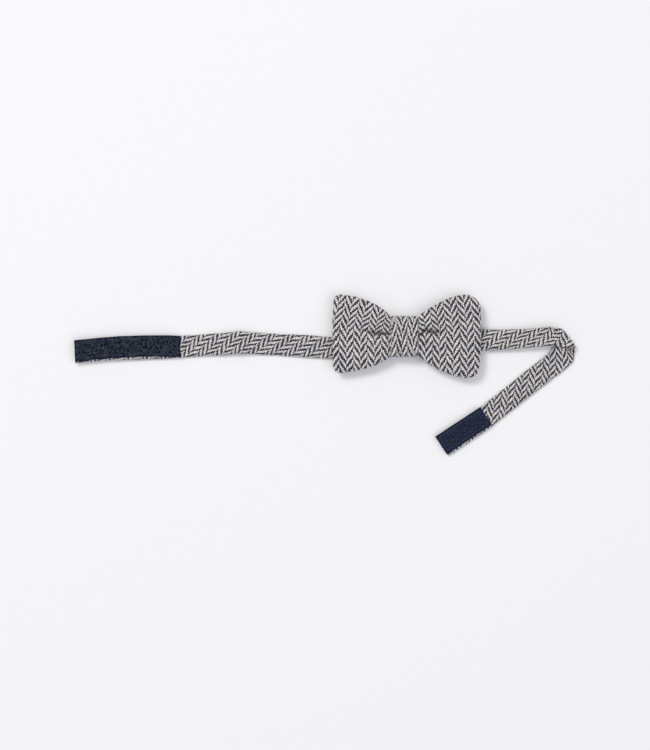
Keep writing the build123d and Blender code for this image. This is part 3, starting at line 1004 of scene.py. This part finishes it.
def add_pile(name, node, body):
    """A brushed field of loops inside the tape's selvedge, over a soft bed."""
    arch = [
        ((0.34 * sin(a), 0, 0.62 * cos(a) + 0.05), a) for a in np.linspace(-1.75, 1.75, 6)
    ]
    loop = bent_fibre(0.10, arch)
    length, width = LOOP_LENGTH - 2 * PILE_INSET, TAPE_WIDTH - 2 * PILE_INSET
    shape = bmesh.new()
    for i in range(LOOPS_ALONG):
        for j in range(LOOPS_ACROSS):
            x = ((i + 0.5) / LOOPS_ALONG - 0.5) * (length + 0.2) + rng.normal(0, 0.22)
            y = ((j + 0.5) / LOOPS_ACROSS - 0.5) * (width + 0.2) + rng.normal(0, 0.2)
            tip_x, tip_y = rng.normal(0, 0.5), rng.normal(0, 0.5)
            lean = Matrix.Rotation(tip_x, 4, "X") @ Matrix.Rotation(tip_y, 4, "Y")
            turn = Matrix.Rotation(rng.uniform(0, pi), 4, "Z")
            size = Matrix.Scale(rng.uniform(0.75, 1.1), 4)
            spot = Matrix.Translation(Vector((x, y + swing(loop_frame, x), GROUND + 0.3)))
            add_copies(shape, loop, loop_frame @ spot @ turn @ lean @ size)

    def bed(i, j):
        x, y = (i / BED_COLUMNS - 0.5) * length, (j / BED_ROWS - 0.5) * width
        edge = min(1.0, min(length / 2 - abs(x), width / 2 - abs(y)) / 0.8)
        seam = min(abs(length / 2 - SEAM_INSET - abs(x)), abs(width / 2 - SEAM_INSET - abs(y)))
        sunk = 0.28 * np.exp(-(seam / 0.5) ** 2)
        height = GROUND + 0.05 + 0.38 * edge - sunk + waver(x, y, 1.4, 0.12) * edge
        return loop_frame @ Vector((x, y + swing(loop_frame, x), height))

    made = add_grid(shape, BED_COLUMNS, BED_ROWS, bed, lambda i, j: (i, j))
    down = -(loop_frame.to_3x3() @ Vector((0, 0, 1)))
    top = list({f for v in made for f in v.link_faces})
    skirt = bmesh.ops.extrude_face_region(shape, geom=top)["geom"]
    low = [v for v in skirt if isinstance(v, bmesh.types.BMVert)]
    bmesh.ops.translate(shape, verts=low, vec=down * 0.3 * MM)
    bmesh.ops.recalc_face_normals(shape, faces=shape.faces)
    return finish_piece(shape, name, tape_pile, node, body)


def add_hooks(name, node, body):
    """Rows of cut hooks across the tape on a low ridge each."""
    crook = [
        ((0, 0, 0), 0.0),
        ((0, 0, 0.34), 0.1),
        ((0.08, 0, 0.52), 0.9),
        ((0.24, 0, 0.56), 1.9),
        ((0.32, 0, 0.44), 2.6),
    ]
    hook = bent_fibre(0.17, crook, sides=4)
    shape = bmesh.new()
    row_places = [(row - (HOOK_ROWS - 1) / 2) * HOOK_PITCH for row in range(HOOK_ROWS)]
    for row, x in enumerate(row_places):
        for k in range(HOOKS_PER_ROW):
            y = ((k + 0.5 + 0.5 * (row % 2)) / HOOKS_PER_ROW - 0.5) * 8.2 + rng.normal(0, 0.08)
            turn = Matrix.Rotation((0 if (row + k) % 2 else pi) + rng.normal(0, 0.25), 4, "Z")
            spot = Matrix.Translation(Vector((x, y, GROUND + 0.12)))
            add_copies(shape, hook, hook_frame @ spot @ turn)
    for x in row_places:
        ridge = bmesh.ops.create_cube(shape, size=1.0)["verts"]
        spot = Matrix.Translation(Vector((x, 0, GROUND + 0.08)))
        matrix = spot @ Matrix.Diagonal((0.6, 9.4, 0.22, 1))
        edges = list({e for v in ridge for e in v.link_edges})
        bmesh.ops.transform(shape, matrix=Matrix.Scale(MM, 4) @ hook_frame @ matrix, verts=ridge)
        round_edges(shape, edges, 0.07)
    return finish_piece(shape, name, tape_hooks, node, body)


pile = add_pile("loop_tape_loops", "loop_tape_pile", "left_end")
hooks = add_hooks("hook_tape_rows", "hook_tape_hooks", "right_end")
print("pile:", len(pile.data.polygons), "faces; hooks:", len(hooks.data.polygons), "faces")

# %% [markdown]
# ## Stitches
#
# A lock stitch holds each tape, just inside its edge. Every stitch is a small bead of thread that
# dives into the tape at both ends, so it is a stretched sphere sunk to its middle.

# %% Sew the tapes down
STITCH_INSET, STITCH_PITCH = 1.7, 2.5
BEAD_SIDES, BEAD_RINGS = 8, 6


def add_stitches(name, frame_matrix, length, lift, node, body):
    """A rectangle of single stitches just inside a tape's edge."""
    long, wide = length - 2 * STITCH_INSET, TAPE_WIDTH - 2 * STITCH_INSET
    shape = bmesh.new()
    for span, other, turn in ((long, wide, 0.0), (wide, long, pi / 2)):
        count = round(span / STITCH_PITCH)
        for side in (-1, 1):
            for step in range(count):
                at = (step + 0.5) * span / count - span / 2
                x, y = (at, side * other / 2) if turn == 0 else (side * other / 2, at)
                spot = (x, y + swing(frame_matrix, x))
                bead = bmesh.ops.create_uvsphere(
                    shape, u_segments=BEAD_SIDES, v_segments=BEAD_RINGS, radius=1.0
                )["verts"]
                matrix = (
                    frame_matrix
                    @ Matrix.Translation(Vector((*spot, lift + rng.normal(0, 0.02))))
                    @ Matrix.Rotation(turn + rng.normal(0, 0.06), 4, "Z")
                    @ Matrix.Diagonal((1.02, 0.24, 0.21, 1))
                )
                bmesh.ops.transform(shape, matrix=Matrix.Scale(MM, 4) @ matrix, verts=bead)
    return finish_piece(shape, name, thread, node, body)


seams = [
    add_stitches(
        "loop_tape_seam", loop_frame, LOOP_LENGTH, GROUND + 0.27, "loop_tape_stitches", "left_end"
    ),
    add_stitches(
        "hook_tape_seam", hook_frame, HOOK_LENGTH, GROUND + 0.05, "hook_tape_stitches", "right_end"
    ),
]
bead_faces = BEAD_SIDES * BEAD_RINGS
print("stitches of the two seams:", [len(seam.data.polygons) // bead_faces for seam in seams])
